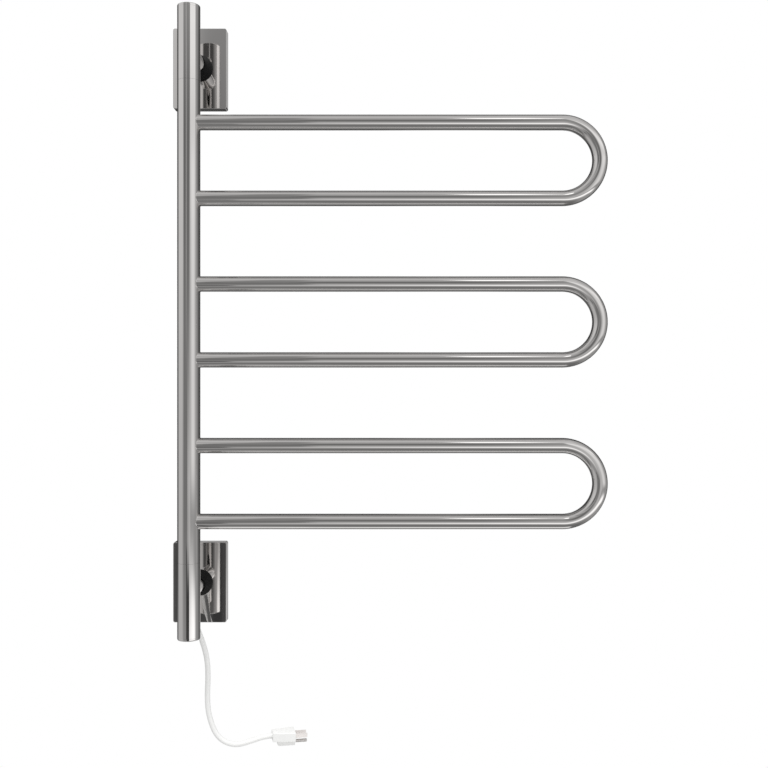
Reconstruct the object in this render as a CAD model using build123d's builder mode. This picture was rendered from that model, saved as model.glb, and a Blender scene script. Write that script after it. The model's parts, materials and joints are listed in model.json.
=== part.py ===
from build123d import *
import os
from math import cos, pi, radians, sin, tan

# Wall-hung swivel towel warmer rack.
# The wall is the plane Y = 0 and +Y points into it, +X runs along the bars at rest, +Z is up.
# The origin is the centre of the lower wall plate's back face. All sizes are in millimetres.

# Post and its two seams
POST_DIAMETER = 33.0
POST_WALL = 1.5
POST_STANDOFF = 96.0  # wall to post axis
LOWER_OVERHANG = 65.0  # lower bracket centre to the post's foot
UPPER_OVERHANG = 63.0  # upper bracket centre to the post's top
SEAM_INSET = 46.0  # bracket centre to the seam where the swinging post starts
SEAM_GAP = 0.4
BRACKET_SPACING = 789.2

# Bars
BAR_DIAMETER = 22.2
BAR_WALL = 1.2
BAR_REACH = 607.0  # post axis to the outside of the bend
LOOP_SPACING = 110.0  # between the two bars of one loop
END_BAR_INSET = 105.5  # bracket centre to the nearest bar

# Wall plates and covers
COVER_WIDTH = 82.0
COVER_HEIGHT = 123.0
COVER_DEPTH = 16.0
COVER_WALL = 1.5
COVER_CORNER = 3.0
COVER_EDGE = 0.6
PLATE_THICKNESS = 4.0
SCREW_SPACING_X = 52.0
SCREW_SPACING_Z = 92.0
SCREW_HOLE_DIAMETER = 5.5

# Arms, stubs and collars
ARM_DIAMETER = 23.0
ARM_WALL = 2.0
STUB_LENGTH = 38.0
STUB_CHAMFER = 1.0
STUB_SCREW_DIAMETER = 6.0
STUB_SCREW_HEAD = 12.0
STUB_SCREW_LENGTH = 20.0
STUB_SCREW_HEX = 4.0
STUB_SCREW_HEX_DEPTH = 2.2
GRUB_DIAMETER = 5.0
GRUB_HEX = 2.5
GRUB_HEX_DEPTH = 1.4
GRUB_BITE = 1.5  # depth of the grub screw's seat in the stub
GRUB_FROM_COVER = 10.0  # cover front to the grub screw, under the collar
COLLAR_DIAMETER = 40.0
COLLAR_LENGTH = 21.0
COLLAR_RIM = 1.5  # straight rim on the cover
COLLAR_LIP = 1.0  # wall of the collar's small end

# Post ends and pivots
CAP_THICKNESS = 4.0
CAP_EDGE = 1.0
CAP_PLUG = 8.0  # depth of the cap's plug in the tube
PIVOT_DIAMETER = 20.0
PIVOT_LENGTH = 26.0  # spindle beyond its shoulder
PIVOT_BORE = 10.0
PIVOT_CHAMFER = 1.0
PIVOT_ARM_ROOM = 7.0  # arm to the pivot's seat in the post end
BUSH_LENGTH = 22.0
WASHER_THICKNESS = 1.5

# Wiring inside the tubes
CABLE_DIAMETER = 6.0
HARNESS_DIAMETER = 7.0
HARNESS_BEND = 6.0
HARNESS_LEAD_IN = 5.0
HARNESS_SHIFT = 15.0  # height over which the harness moves from the axis to the wall
SPLICE_DIAMETER = 10.0
SPLICE_LENGTH = 40.0
CUTOUT_DIAMETER = 8.0
CUTOUT_LENGTH = 30.0
CUTOUT_LEAD = 2.0
CUTOUT_LEAD_RISE = 6.0
WIRE_DIAMETER = 6.0
WIRE_BEND = 6.0
WIRE_HOLE_DIAMETER = 13.0

# Earth terminal on the lower end cap
EARTH_SCREW_DIAMETER = 4.0
EARTH_SCREW_LENGTH = 7.0
EARTH_HEAD_DIAMETER = 7.0
EARTH_HEAD_HEIGHT = 2.5
LUG_DIAMETER = 9.0
LUG_THICKNESS = 0.8
LUG_REACH = 7.5  # earth screw to the lug's barrel
LUG_BARREL_HEIGHT = 7.0
LUG_BARREL_WALL = 0.9
EARTH_WIRE_DIAMETER = 2.4
EARTH_WIRE_BEND = 6.0
EARTH_WIRE_TAIL = 5.0  # stretch that lies along the supply wires

# Cord, strain relief and plug
CORD_DIAMETER = 7.8
CORD_FROM_POST = 38.0  # post axis to the cord's exit under the lower arm
RELIEF_LENGTH = 22.0
RELIEF_NECK = 10.0
RELIEF_NECK_INSIDE = 1.5
RELIEF_FLANGE = 14.0
RELIEF_FLANGE_THICKNESS = 2.5
RELIEF_TOP = 12.0
RELIEF_TIP_WALL = 0.9
PLUG_ENTRY = Vector(115.1, -48.0, -223.3)
PLUG_YAW = 13.5  # degrees from +X towards the wall
PLUG_PITCH = -1.2  # degrees of rise
PLUG_LAST_RUN = 11.5
PLUG_LENGTH = 34.0
PLUG_WIDTH_CORD_END = 18.5
PLUG_WIDTH_SHOULDER = 25.8
PLUG_WIDTH_FACE = 28.5
PLUG_SHOULDER = 20.0  # cord end to the shoulder where the taper eases
PLUG_HEIGHT = 13.0
PLUG_CORNER = 1.2
PLUG_EDGE = 0.8
LOBE_LENGTH = 26.5
LOBE_WIDTH = 10.0
LOBE_DROP = 8.2
LOBE_CORNER = 4.0
LOBE_EDGE = 1.0
BLADE_SPACING = 12.7
BLADE_HEIGHT = 6.35
BLADE_THICKNESS = 1.5
BLADE_LENGTH = 18.2
BLADE_TIP = 0.5
PRONG_ROOT = 10.0  # length of each prong inside the plug
PIN_DIAMETER = 4.8
PIN_LENGTH = 18.5
PIN_DROP = 9.8  # blades to the earth pin
PIN_TIP = 1.2

# Clearances
FIT_CLEARANCE = 0.05  # seats and running fits, on the radius
JOINT_GAP = 0.05  # welded saddle joints
SEAT_GAP = 0.3  # pieces that only lie against a wall
SLIDE_CLEARANCE = 0.15  # collars and covers on the arms
RUNNING_GAP = 0.1  # along the post, between bush and washer
SCREW_RECESS = 0.3

# Worked out from the sizes above
POST_RADIUS = POST_DIAMETER / 2
POST_BORE_RADIUS = POST_RADIUS - POST_WALL
BAR_RADIUS = BAR_DIAMETER / 2
BAR_BORE_RADIUS = BAR_RADIUS - BAR_WALL
ARM_RADIUS = ARM_DIAMETER / 2
ARM_BORE_RADIUS = ARM_RADIUS - ARM_WALL
STUB_RADIUS = ARM_BORE_RADIUS - FIT_CLEARANCE
PIVOT_RADIUS = PIVOT_DIAMETER / 2
BEND_RADIUS = LOOP_SPACING / 2
BEND_X = BAR_REACH - BAR_RADIUS - BEND_RADIUS
MIDDLE_Z = BRACKET_SPACING / 2
LOOP_PITCH = (BRACKET_SPACING - LOOP_SPACING) / 2 - END_BAR_INSET
LOOPS = {
    "lower": MIDDLE_Z - LOOP_PITCH,
    "middle": MIDDLE_Z,
    "upper": MIDDLE_Z + LOOP_PITCH,
}
BRACKETS = {"lower": 0.0, "upper": BRACKET_SPACING}
OUTWARD = {"lower": -1, "upper": 1}  # along Z, from a bracket to the post's nearer end
GRUB_FROM_WALL = COVER_DEPTH + GRUB_FROM_COVER
CORD_EXIT_Y = CORD_FROM_POST - POST_STANDOFF
RIM = -SEAM_INSET - SEAM_GAP
SHOULDER = RIM + RUNNING_GAP + WASHER_THICKNESS
PIVOT_SEAT_END = -(ARM_RADIUS + PIVOT_ARM_ROOM)
PIVOT_TIP = SHOULDER - PIVOT_LENGTH
CAP_FACE = {"lower": LOWER_OVERHANG - CAP_THICKNESS, "upper": UPPER_OVERHANG - CAP_THICKNESS}

os.makedirs("parts", exist_ok=True)


def save(part, label):
    """Label a finished piece and write it as its own STEP file."""
    part.label = label
    export_step(part, f"parts/{label}.step")


def wall_plane(z):
    """The wall at height z, facing the room: X runs right and Y runs up."""
    return Plane(origin=(0, 0, z), x_dir=(1, 0, 0), z_dir=(0, -1, 0))


def post_plane(z, outward):
    """Square to the post at height z, facing the post's nearer end."""
    return Plane(origin=(0, -POST_STANDOFF, z), x_dir=(1, 0, 0), z_dir=(0, 0, outward))


def below_arm(y, z):
    """On the arm's axis at y, facing down."""
    return Plane(origin=(0, y, z), x_dir=(1, 0, 0), z_dir=(0, 0, -1))


# Wall plates, with a countersunk hole behind each stub
for name, z in BRACKETS.items():
    with BuildPart() as wall_plate:
        plate_inset = 2 * (COVER_WALL + SEAT_GAP)
        with BuildSketch(wall_plane(z)):
            RectangleRounded(COVER_WIDTH - plate_inset, COVER_HEIGHT - plate_inset, COVER_CORNER)
        extrude(amount=PLATE_THICKNESS)
        with BuildSketch(wall_plane(z)):
            with GridLocations(SCREW_SPACING_X, SCREW_SPACING_Z, 2, 2):
                Circle(SCREW_HOLE_DIAMETER / 2)
        extrude(amount=PLATE_THICKNESS, mode=Mode.SUBTRACT)
        with Locations(Plane(origin=(0, 0, z), x_dir=(-1, 0, 0), z_dir=(0, 1, 0))):
            CounterSinkHole(
                radius=STUB_SCREW_DIAMETER / 2 + FIT_CLEARANCE,
                counter_sink_radius=STUB_SCREW_HEAD / 2 + FIT_CLEARANCE,
                counter_sink_angle=90,
            )
    save(wall_plate.part, f"{name}_wall_plate")

# Stubs that carry the arms, each with a tapped hole and a seat for its grub screw
for name, z in BRACKETS.items():
    stub_face = wall_plane(z).offset(PLATE_THICKNESS)
    with BuildPart() as stub:
        with BuildSketch(stub_face):
            Circle(STUB_RADIUS)
        extrude(amount=STUB_LENGTH)
        chamfer(stub.faces().sort_by(Axis.Y)[0].edges(), length=STUB_CHAMFER)
        with BuildSketch(stub_face):
            Circle(STUB_SCREW_DIAMETER / 2 + FIT_CLEARANCE)
        extrude(amount=STUB_SCREW_LENGTH, mode=Mode.SUBTRACT)
        with BuildSketch(below_arm(-GRUB_FROM_WALL, z).offset(STUB_RADIUS - GRUB_BITE)):
            Circle(GRUB_DIAMETER / 2 + FIT_CLEARANCE)
        extrude(amount=GRUB_BITE, mode=Mode.SUBTRACT)
    save(stub.part, f"{name}_arm_stub")

# Countersunk screws that hold the stubs to the plates
for name, z in BRACKETS.items():
    head_depth = (STUB_SCREW_HEAD - STUB_SCREW_DIAMETER) / 2
    with BuildPart() as stub_screw:
        with BuildSketch(Plane(origin=(0, 0, z), x_dir=(1, 0, 0), z_dir=(0, 0, -1))):
            with BuildLine():
                Polyline(
                    (0, SCREW_RECESS),
                    (STUB_SCREW_HEAD / 2 - SCREW_RECESS, SCREW_RECESS),
                    (STUB_SCREW_DIAMETER / 2, head_depth),
                    (STUB_SCREW_DIAMETER / 2, STUB_SCREW_LENGTH),
                    (0, STUB_SCREW_LENGTH),
                    close=True,
                )
            make_face()
        revolve(axis=Axis((0, 0, z), (0, -1, 0)))
        with BuildSketch(wall_plane(z).offset(SCREW_RECESS)):
            RegularPolygon(STUB_SCREW_HEX / 2, 6, major_radius=False)
        extrude(amount=STUB_SCREW_HEX_DEPTH, mode=Mode.SUBTRACT)
    save(stub_screw.part, f"{name}_stub_screw")

# Pressed covers, open at the wall and holed for the arm
for name, z in BRACKETS.items():
    with BuildPart() as cover:
        with BuildSketch(wall_plane(z)):
            RectangleRounded(COVER_WIDTH, COVER_HEIGHT, COVER_CORNER)
        extrude(amount=COVER_DEPTH)
        fillet(cover.faces().sort_by(Axis.Y)[0].edges(), radius=COVER_EDGE)
        with BuildSketch(wall_plane(z)):
            inner_corner = COVER_CORNER - COVER_WALL
            RectangleRounded(COVER_WIDTH - 2 * COVER_WALL, COVER_HEIGHT - 2 * COVER_WALL, inner_corner)
        extrude(amount=COVER_DEPTH - COVER_WALL, mode=Mode.SUBTRACT)
        with BuildSketch(wall_plane(z)):
            Circle(ARM_RADIUS + SLIDE_CLEARANCE)
        extrude(amount=COVER_DEPTH, mode=Mode.SUBTRACT)
    save(cover.part, f"{name}_plate_cover")

# Arms, saddle-cut where they are welded to the post ends
for name, z in BRACKETS.items():
    with BuildPart() as arm:
        with BuildSketch(wall_plane(z).offset(PLATE_THICKNESS)):
            Circle(ARM_RADIUS)
            Circle(ARM_BORE_RADIUS, mode=Mode.SUBTRACT)
        extrude(amount=POST_STANDOFF - PLATE_THICKNESS)
        with BuildSketch(post_plane(z, OUTWARD[name]).offset(-ARM_DIAMETER)):
            Circle(POST_RADIUS + JOINT_GAP)
        extrude(amount=2 * ARM_DIAMETER, mode=Mode.SUBTRACT)
        with BuildSketch(below_arm(-GRUB_FROM_WALL, z)):
            Circle(GRUB_DIAMETER / 2 + FIT_CLEARANCE)
        extrude(amount=ARM_DIAMETER, mode=Mode.SUBTRACT)
        if name == "lower":
            with BuildSketch(below_arm(CORD_EXIT_Y, z)):
                Circle(RELIEF_NECK / 2 + FIT_CLEARANCE)
            extrude(amount=ARM_DIAMETER, mode=Mode.SUBTRACT)
    save(arm.part, f"{name}_arm")

# Grub screws that lock the arms on their stubs
for name, z in BRACKETS.items():
    grub_inside = STUB_RADIUS - GRUB_BITE + FIT_CLEARANCE
    grub_outside = ARM_RADIUS - SCREW_RECESS
    grub_plane = below_arm(-GRUB_FROM_WALL, z)
    with BuildPart() as grub_screw:
        with BuildSketch(grub_plane.offset(grub_inside)):
            Circle(GRUB_DIAMETER / 2)
        extrude(amount=grub_outside - grub_inside)
        with BuildSketch(grub_plane.offset(grub_outside)):
            RegularPolygon(GRUB_HEX / 2, 6, major_radius=False)
        extrude(amount=-GRUB_HEX_DEPTH, mode=Mode.SUBTRACT)
    save(grub_screw.part, f"{name}_grub_screw")

# Conical collars that press the covers to the wall
for name, z in BRACKETS.items():
    collar_bore = ARM_RADIUS + SLIDE_CLEARANCE
    with BuildPart() as collar:
        with BuildSketch(Plane(origin=(0, -COVER_DEPTH, z), x_dir=(1, 0, 0), z_dir=(0, 0, -1))):
            with BuildLine():
                Polyline(
                    (collar_bore, 0),
                    (COLLAR_DIAMETER / 2, 0),
                    (COLLAR_DIAMETER / 2, COLLAR_RIM),
                    (collar_bore + COLLAR_LIP, COLLAR_LENGTH),
                    (collar_bore, COLLAR_LENGTH),
                    close=True,
                )
            make_face()
        revolve(axis=Axis((0, 0, z), (0, -1, 0)))
    save(collar.part, f"{name}_collar")

# Fixed post ends, the lower one with a hole for the wires
for name, z in BRACKETS.items():
    with BuildPart() as post_end:
        with BuildSketch(post_plane(z, OUTWARD[name]).offset(-SEAM_INSET)):
            Circle(POST_RADIUS)
            Circle(POST_BORE_RADIUS, mode=Mode.SUBTRACT)
        extrude(amount=SEAM_INSET + CAP_FACE[name])
        if name == "lower":
            with BuildSketch(Plane(origin=(0, -POST_STANDOFF, z), x_dir=(-1, 0, 0), z_dir=(0, 1, 0))):
                Circle(WIRE_HOLE_DIAMETER / 2)
            extrude(amount=POST_DIAMETER, mode=Mode.SUBTRACT)
    save(post_end.part, f"{name}_post_end")

# End caps, plugged into the post ends, the lower one tapped for the earth screw
for name, z in BRACKETS.items():
    with BuildPart() as end_cap:
        with BuildSketch(post_plane(z, OUTWARD[name]).offset(CAP_FACE[name])):
            Circle(POST_RADIUS)
        extrude(amount=CAP_THICKNESS)
        fillet(end_cap.faces().sort_by(Axis((0, 0, 0), (0, 0, OUTWARD[name])))[-1].edges(), radius=CAP_EDGE)
        with BuildSketch(post_plane(z, OUTWARD[name]).offset(CAP_FACE[name] - CAP_PLUG)):
            Circle(POST_BORE_RADIUS - FIT_CLEARANCE)
        extrude(amount=CAP_PLUG)
        if name == "lower":
            with BuildSketch(post_plane(z, OUTWARD[name]).offset(CAP_FACE[name] - CAP_PLUG)):
                Circle(EARTH_SCREW_DIAMETER / 2 + FIT_CLEARANCE)
            extrude(amount=EARTH_SCREW_LENGTH, mode=Mode.SUBTRACT)
    save(end_cap.part, f"{name}_end_cap")

# Hollow pivots, seated in the post ends
for name, z in BRACKETS.items():
    with BuildPart() as pivot:
        with BuildSketch(post_plane(z, OUTWARD[name]).offset(SHOULDER)):
            Circle(POST_BORE_RADIUS - FIT_CLEARANCE)
        extrude(amount=PIVOT_SEAT_END - SHOULDER)
        with BuildSketch(post_plane(z, OUTWARD[name]).offset(PIVOT_TIP)):
            Circle(PIVOT_RADIUS)
        extrude(amount=PIVOT_LENGTH)
        tip_face = pivot.faces().sort_by(Axis((0, 0, 0), (0, 0, OUTWARD[name])))[0]
        chamfer(tip_face.edges(), length=PIVOT_CHAMFER)
        with BuildSketch(post_plane(z, OUTWARD[name]).offset(PIVOT_TIP)):
            Circle(PIVOT_BORE / 2)
        extrude(amount=PIVOT_SEAT_END - PIVOT_TIP, mode=Mode.SUBTRACT)
    save(pivot.part, f"{name}_pivot")

# Thrust washers on the pivots' shoulders
for name, z in BRACKETS.items():
    with BuildPart() as thrust_washer:
        with BuildSketch(post_plane(z, OUTWARD[name]).offset(SHOULDER - WASHER_THICKNESS)):
            Circle(POST_BORE_RADIUS - SEAT_GAP)
            Circle(PIVOT_RADIUS + SLIDE_CLEARANCE, mode=Mode.SUBTRACT)
        extrude(amount=WASHER_THICKNESS)
    save(thrust_washer.part, f"{name}_thrust_washer")

# Bushes in the ends of the swinging post
for name, z in BRACKETS.items():
    with BuildPart() as bush:
        with BuildSketch(post_plane(z, OUTWARD[name]).offset(RIM - BUSH_LENGTH)):
            Circle(POST_BORE_RADIUS - FIT_CLEARANCE)
            Circle(PIVOT_RADIUS + FIT_CLEARANCE, mode=Mode.SUBTRACT)
        extrude(amount=BUSH_LENGTH)
    save(bush.part, f"{name}_bush")

# Swinging post, open into every bar
with BuildPart() as swing_post:
    with BuildSketch(post_plane(0, 1).offset(-RIM)):
        Circle(POST_RADIUS)
        Circle(POST_BORE_RADIUS, mode=Mode.SUBTRACT)
    extrude(amount=BRACKET_SPACING + 2 * RIM)
    for loop_z in LOOPS.values():
        with BuildSketch(Plane(origin=(0, -POST_STANDOFF, loop_z), x_dir=(0, 1, 0), z_dir=(1, 0, 0))):
            with GridLocations(0, LOOP_SPACING, 1, 2):
                Circle(BAR_BORE_RADIUS)
        extrude(amount=POST_DIAMETER, mode=Mode.SUBTRACT)
save(swing_post.part, "swing_post")

# Bar loops, each one bent tube saddle-cut and welded to the swinging post
for name, loop_z in LOOPS.items():
    loop_plane = Plane(origin=(0, -POST_STANDOFF, loop_z), x_dir=(1, 0, 0), z_dir=(0, -1, 0))
    with BuildPart() as bar_loop:
        with BuildLine(loop_plane):
            Line((0, BEND_RADIUS), (BEND_X, BEND_RADIUS))
            CenterArc((BEND_X, 0), BEND_RADIUS, 90, -180)
            Line((BEND_X, -BEND_RADIUS), (0, -BEND_RADIUS))
        with BuildSketch(Plane(origin=(0, -POST_STANDOFF, loop_z + BEND_RADIUS), z_dir=(1, 0, 0))):
            Circle(BAR_RADIUS)
            Circle(BAR_BORE_RADIUS, mode=Mode.SUBTRACT)
        sweep()
        with BuildSketch(post_plane(loop_z, 1).offset(-LOOP_SPACING)):
            Circle(POST_RADIUS + JOINT_GAP)
        extrude(amount=2 * LOOP_SPACING, mode=Mode.SUBTRACT)
    save(bar_loop.part, f"{name}_bar_loop")

# Wiring harness up the swinging post, from above the lower pivot to the top bar
HARNESS_X = -(POST_BORE_RADIUS - SPLICE_DIAMETER / 2 - SEAT_GAP)
HARNESS_START = -PIVOT_TIP + SEAT_GAP
HARNESS_END = LOOPS["upper"] + BEND_RADIUS
post_face = Plane(origin=(0, -POST_STANDOFF, 0), x_dir=(1, 0, 0), z_dir=(0, -1, 0))
with BuildPart() as harness:
    with BuildLine(post_face):
        FilletPolyline(
            (0, HARNESS_START),
            (0, HARNESS_START + HARNESS_LEAD_IN),
            (HARNESS_X, HARNESS_START + HARNESS_LEAD_IN + HARNESS_SHIFT),
            (HARNESS_X, HARNESS_END),
            radius=HARNESS_BEND,
        )
    with BuildSketch(post_plane(HARNESS_START, 1)):
        Circle(HARNESS_DIAMETER / 2)
    sweep()
save(harness.part, "wiring_harness")

# Heating cables, lying along the bottom of each bar and ending beside the harness
CABLE_SINK = BAR_BORE_RADIUS - CABLE_DIAMETER / 2 - SEAT_GAP
CABLE_END_X = HARNESS_X + HARNESS_DIAMETER / 2 + SEAT_GAP
for name, loop_z in LOOPS.items():
    cable_z = loop_z - CABLE_SINK
    cable_plane = Plane(origin=(0, -POST_STANDOFF, cable_z), x_dir=(1, 0, 0), z_dir=(0, -1, 0))
    with BuildPart() as heating_cable:
        with BuildLine(cable_plane):
            Line((CABLE_END_X, BEND_RADIUS), (BEND_X, BEND_RADIUS))
            CenterArc((BEND_X, 0), BEND_RADIUS, 90, -180)
            Line((BEND_X, -BEND_RADIUS), (CABLE_END_X, -BEND_RADIUS))
        cable_start = (CABLE_END_X, -POST_STANDOFF, cable_z + BEND_RADIUS)
        with BuildSketch(Plane(origin=cable_start, z_dir=(1, 0, 0))):
            Circle(CABLE_DIAMETER / 2)
        sweep()
    save(heating_cable.part, f"{name}_heating_cable")

# Splice sleeve over the harness joints, halfway between the lowest two bars
with BuildPart() as splice_sleeve:
    with BuildSketch(post_plane(LOOPS["lower"] - SPLICE_LENGTH / 2, 1)):
        with Locations((HARNESS_X, 0)):
            Circle(SPLICE_DIAMETER / 2)
            Circle(HARNESS_DIAMETER / 2 + FIT_CLEARANCE, mode=Mode.SUBTRACT)
    extrude(amount=SPLICE_LENGTH)
save(splice_sleeve.part, "splice_sleeve")

# Thermal cut-out against the post's wall between two loops, with its leads to the harness
CUTOUT_X = POST_BORE_RADIUS - CUTOUT_DIAMETER / 2 - SEAT_GAP
CUTOUT_LOW = MIDDLE_Z - LOOP_PITCH / 2 - CUTOUT_LENGTH / 2
CUTOUT_HIGH = CUTOUT_LOW + CUTOUT_LENGTH
with BuildPart() as thermal_cutout:
    with BuildSketch(post_plane(CUTOUT_LOW, 1)):
        with Locations((CUTOUT_X, 0)):
            Circle(CUTOUT_DIAMETER / 2)
    extrude(amount=CUTOUT_LENGTH)
    for lead_start, rise in ((CUTOUT_LOW, -CUTOUT_LEAD_RISE), (CUTOUT_HIGH, CUTOUT_LEAD_RISE)):
        with BuildLine(post_face) as lead_line:
            FilletPolyline(
                (CUTOUT_X, lead_start - rise / 2),
                (CUTOUT_X, lead_start + rise),
                (CABLE_END_X, lead_start + rise),
                radius=CUTOUT_LEAD,
            )
        with BuildSketch(Plane(origin=lead_line.line @ 0, z_dir=lead_line.line % 0)):
            Circle(CUTOUT_LEAD / 2)
        sweep(path=lead_line.line)
save(thermal_cutout.part, "thermal_cutout")

# Supply wires, from the strain relief along the lower arm and up the hollow pivot
RELIEF_INSIDE = -(ARM_BORE_RADIUS - RELIEF_NECK_INSIDE)
arm_side = Plane(origin=(0, 0, 0), x_dir=(0, 1, 0), z_dir=(1, 0, 0))
with BuildPart() as supply_wires:
    with BuildLine(arm_side):
        FilletPolyline(
            (CORD_EXIT_Y, RELIEF_INSIDE),
            (CORD_EXIT_Y, 0),
            (-POST_STANDOFF, 0),
            (-POST_STANDOFF, -PIVOT_TIP),
            radius=WIRE_BEND,
        )
    with BuildSketch(Plane(origin=(0, CORD_EXIT_Y, RELIEF_INSIDE), x_dir=(1, 0, 0), z_dir=(0, 0, 1))):
        Circle(WIRE_DIAMETER / 2)
    sweep()
save(supply_wires.part, "supply_wires")

# Earth lug, screwed to the lower cap and crimped to the earth wire
cap_top = CAP_PLUG - CAP_FACE["lower"]
lug_plane = post_plane(cap_top, 1)
barrel_radius = EARTH_WIRE_DIAMETER / 2 + FIT_CLEARANCE + LUG_BARREL_WALL
with BuildPart() as earth_lug:
    with BuildSketch(lug_plane):
        Circle(LUG_DIAMETER / 2)
        with Locations((-LUG_REACH / 2, 0)):
            Rectangle(LUG_REACH, 2 * barrel_radius)
        with Locations((-LUG_REACH, 0)):
            Circle(barrel_radius)
        Circle(EARTH_SCREW_DIAMETER / 2 + SLIDE_CLEARANCE, mode=Mode.SUBTRACT)
    extrude(amount=LUG_THICKNESS)
    with BuildSketch(lug_plane.offset(LUG_THICKNESS)):
        with Locations((-LUG_REACH, 0)):
            Circle(barrel_radius)
            Circle(EARTH_WIRE_DIAMETER / 2 + FIT_CLEARANCE, mode=Mode.SUBTRACT)
    extrude(amount=LUG_BARREL_HEIGHT)
save(earth_lug.part, "earth_lug")

# Earth screw
with BuildPart() as earth_screw:
    with BuildSketch(lug_plane.offset(LUG_THICKNESS)):
        Circle(EARTH_HEAD_DIAMETER / 2)
    extrude(amount=EARTH_HEAD_HEIGHT)
    with BuildSketch(lug_plane.offset(LUG_THICKNESS + EARTH_HEAD_HEIGHT)):
        Rectangle(EARTH_HEAD_DIAMETER, LUG_THICKNESS)
    extrude(amount=-EARTH_HEAD_HEIGHT / 2, mode=Mode.SUBTRACT)
    with BuildSketch(lug_plane.offset(LUG_THICKNESS)):
        Circle(EARTH_SCREW_DIAMETER / 2)
    extrude(amount=-EARTH_SCREW_LENGTH)
save(earth_screw.part, "earth_screw")

# Earth wire, from the lug up to the supply wires
earth_start = cap_top + LUG_THICKNESS + FIT_CLEARANCE
earth_beside_wires = -(WIRE_DIAMETER / 2 + EARTH_WIRE_DIAMETER / 2 + SEAT_GAP)
earth_end = -PIVOT_SEAT_END - SEAT_GAP
earth_join = earth_end - EARTH_WIRE_TAIL
with BuildPart() as earth_wire:
    with BuildLine(post_face):
        FilletPolyline(
            (-LUG_REACH, earth_start),
            (-LUG_REACH, -WIRE_DIAMETER),
            (earth_beside_wires, earth_join),
            (earth_beside_wires, earth_end),
            radius=EARTH_WIRE_BEND,
        )
    with BuildSketch(Plane(origin=(-LUG_REACH, -POST_STANDOFF, earth_start), z_dir=(0, 0, 1))):
        Circle(EARTH_WIRE_DIAMETER / 2)
    sweep()
save(earth_wire.part, "earth_wire")

# Strain relief through the underside of the lower arm
RELIEF_TIP = -(ARM_RADIUS + RELIEF_LENGTH)
RELIEF_SEAT = -(ARM_RADIUS + FIT_CLEARANCE)
with BuildPart() as strain_relief:
    with BuildSketch(Plane(origin=(0, CORD_EXIT_Y, 0), x_dir=(1, 0, 0), z_dir=(0, -1, 0))):
        with BuildLine():
            Polyline(
                (0, RELIEF_INSIDE),
                (RELIEF_NECK / 2, RELIEF_INSIDE),
                (RELIEF_NECK / 2, RELIEF_SEAT),
                (RELIEF_FLANGE / 2, RELIEF_SEAT),
                (RELIEF_FLANGE / 2, RELIEF_SEAT - RELIEF_FLANGE_THICKNESS),
                (RELIEF_TOP / 2, RELIEF_SEAT - RELIEF_FLANGE_THICKNESS),
                (CORD_DIAMETER / 2 + RELIEF_TIP_WALL, RELIEF_TIP),
                (0, RELIEF_TIP),
                close=True,
            )
        make_face()
    revolve(axis=Axis((0, CORD_EXIT_Y, 0), (0, 0, 1)))
save(strain_relief.part, "strain_relief")

# Plug frame: X runs from the cord to the prongs, Z is the plug's own up
yaw = radians(PLUG_YAW)
pitch = radians(PLUG_PITCH)
plug_axis = Vector(cos(pitch) * cos(yaw), cos(pitch) * sin(yaw), sin(pitch))
plug_side = Vector(-sin(yaw), cos(yaw), 0)
plug_plane = Plane(origin=PLUG_ENTRY, x_dir=plug_axis, z_dir=plug_axis.cross(plug_side))
plug_face = Plane(origin=PLUG_ENTRY + plug_axis * PLUG_LENGTH, x_dir=plug_side, z_dir=plug_axis)

# Plug body, wider at the prongs, with a lobe for the earth pin below
plug_outline = [
    (0, PLUG_WIDTH_CORD_END / 2),
    (PLUG_SHOULDER, PLUG_WIDTH_SHOULDER / 2),
    (PLUG_LENGTH, PLUG_WIDTH_FACE / 2),
]
with BuildPart() as plug_body:
    with BuildSketch(plug_plane.offset(-PLUG_HEIGHT / 2)) as plug_sketch:
        with BuildLine():
            Polyline(*plug_outline, *[(x, -y) for x, y in reversed(plug_outline)], close=True)
        make_face()
        outline_corners = plug_sketch.vertices().group_by(Axis.X)
        fillet(outline_corners[0] + outline_corners[-1], radius=PLUG_CORNER)
    extrude(amount=PLUG_HEIGHT)
    plug_up = Axis(PLUG_ENTRY, plug_plane.z_dir)
    outer_faces = plug_body.faces().sort_by(plug_up)
    fillet(outer_faces[0].edges() + outer_faces[-1].edges(), radius=PLUG_EDGE)
    with BuildSketch(plug_plane.offset(PLUG_EDGE - PLUG_HEIGHT / 2)):
        with Locations((PLUG_LENGTH - LOBE_LENGTH / 2, 0)):
            Rectangle(LOBE_LENGTH, LOBE_WIDTH)
    extrude(amount=-(PLUG_EDGE + LOBE_DROP))
    lobe_bottom = plug_body.faces().sort_by(plug_up)[0]
    lobe_corner = lobe_bottom.edges().sort_by(Axis(PLUG_ENTRY, plug_axis))[0]
    fillet(lobe_corner, radius=LOBE_CORNER)
    fillet(plug_body.faces().sort_by(plug_up)[0].edges(), radius=LOBE_EDGE)
    with BuildSketch(plug_face):
        with GridLocations(BLADE_SPACING, 0, 2, 1):
            Rectangle(BLADE_THICKNESS + 2 * FIT_CLEARANCE, BLADE_HEIGHT + 2 * FIT_CLEARANCE)
        with Locations((0, -PIN_DROP)):
            Circle(PIN_DIAMETER / 2 + FIT_CLEARANCE)
    extrude(amount=-PRONG_ROOT, mode=Mode.SUBTRACT)
save(plug_body.part, "plug_body")

# Flat blades
with BuildPart() as plug_blades:
    with BuildSketch(plug_face.offset(-PRONG_ROOT)):
        with GridLocations(BLADE_SPACING, 0, 2, 1):
            Rectangle(BLADE_THICKNESS, BLADE_HEIGHT)
    extrude(amount=PRONG_ROOT + BLADE_LENGTH)
    blade_tips = plug_blades.faces().sort_by(Axis(PLUG_ENTRY, plug_axis))[-2:]
    chamfer(blade_tips.edges(), length=BLADE_TIP)
save(plug_blades.part, "plug_blades")

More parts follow.
